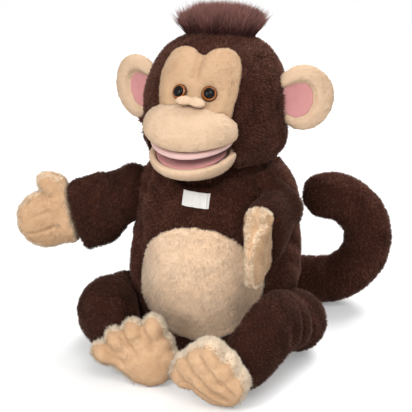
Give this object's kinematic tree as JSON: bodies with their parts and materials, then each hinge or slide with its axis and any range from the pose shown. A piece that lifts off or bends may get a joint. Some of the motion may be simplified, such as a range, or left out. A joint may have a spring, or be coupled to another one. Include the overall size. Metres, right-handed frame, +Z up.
{
  "type": "hand puppet",
  "caption": "Sitting plush monkey hand puppet with a hand opening in its back, a mouth worked by the fingers and thumb, and soft limbs and tail.",
  "frame": {"origin": "middle of the flat seat that the puppet sits on", "axes": "+Z up, -Y the way the puppet faces, +X to the puppet's left"},
  "size_m": [0.303, 0.2772, 0.287],
  "materials": {
    "brown_plush": "short dark brown plush",
    "beige_plush": "short beige plush",
    "belly_plush": "longer beige plush",
    "pink_velour": "smooth pink velour",
    "tuft_fur": "long dark red-brown fur",
    "inner_cotton": "plain woven cotton",
    "woven_label": "blank woven label",
    "mouth_board": "stiff sheet",
    "eye_iris": "clear amber, polished",
    "eye_pupil": "black, polished",
    "eye_washer": "moulded, natural white"
  },
  "bodies": {
    "torso": {"chest_panel": "brown_plush", "belly_panel": "belly_plush", "left_flank_panel": "brown_plush", "right_flank_panel": "brown_plush", "left_back_panel": "brown_plush", "right_back_panel": "brown_plush", "seat_panel": "brown_plush", "seat_bead_bag": "inner_cotton", "hand_sleeve": "inner_cotton", "opening_binding": "brown_plush", "chest_label": "woven_label"},
    "neck": {"neck_collar": "brown_plush"},
    "head": {"head_hood": "brown_plush", "crown_padding": "inner_cotton", "face_mask": "beige_plush", "nose": "beige_plush", "muzzle": "beige_plush", "upper_mouth_board": "mouth_board", "upper_lip": "pink_velour", "mouth_hinge_fold": "pink_velour", "hair_tuft": "tuft_fur", "right_eye_iris": "eye_iris", "right_eye_pupil": "eye_pupil", "right_eye_washer": "eye_washer", "left_eye_iris": "eye_iris", "left_eye_pupil": "eye_pupil", "left_eye_washer": "eye_washer", "right_ear": "beige_plush", "right_ear_lining": "pink_velour", "left_ear": "beige_plush", "left_ear_lining": "pink_velour"},
    "jaw": {"chin": "beige_plush", "lower_mouth_board": "mouth_board", "mouth_floor": "pink_velour"},
    "right_arm": {"right_arm": "brown_plush", "right_hand": "beige_plush"},
    "left_arm": {"left_arm": "brown_plush", "left_hand": "beige_plush"},
    "right_leg": {"right_leg": "brown_plush", "right_foot": "beige_plush"},
    "left_leg": {"left_leg": "brown_plush", "left_foot": "beige_plush"},
    "tail": {"tail": "brown_plush"}
  },
  "joints": [
    {"name": "neck_turn", "type": "hinge", "parent": "torso", "child": "neck", "pos_m": [0, 0.002, 0.16], "axis": [0, 0, 1], "range_deg": [-25, 25], "stiffness_Nm_per_rad": 0.3},
    {"name": "head_nod", "type": "hinge", "parent": "neck", "child": "head", "pos_m": [0, 0.002, 0.16], "axis": [-1, 0, 0], "range_deg": [-8, 12], "stiffness_Nm_per_rad": 0.5},
    {"name": "mouth_open", "type": "hinge", "parent": "head", "child": "jaw", "pos_m": [-0.002, -0.028, 0.1847], "axis": [1, 0, 0], "range_deg": [-4, 20], "stiffness_Nm_per_rad": 0.08},
    {"name": "right_shoulder", "type": "hinge", "parent": "torso", "child": "right_arm", "pos_m": [-0.072, -0.016, 0.126], "axis": [0, -1, 0], "range_deg": [-35, 25], "stiffness_Nm_per_rad": 0.15},
    {"name": "left_shoulder", "type": "hinge", "parent": "torso", "child": "left_arm", "pos_m": [0.056, -0.02, 0.126], "axis": [1, 0, 0], "range_deg": [-35, 6], "stiffness_Nm_per_rad": 0.15},
    {"name": "right_hip", "type": "hinge", "parent": "torso", "child": "right_leg", "pos_m": [-0.073, -0.014, 0.031], "axis": [1, 0, 0], "range_deg": [0, 40]},
    {"name": "left_hip", "type": "hinge", "parent": "torso", "child": "left_leg", "pos_m": [0.073, -0.014, 0.031], "axis": [1, 0, 0], "range_deg": [0, 40]},
    {"name": "tail_swing", "type": "hinge", "parent": "torso", "child": "tail", "pos_m": [0, 0.06404, 0.026], "axis": [0, 0, 1], "range_deg": [-20, 25], "stiffness_Nm_per_rad": 0.1}
  ]
}
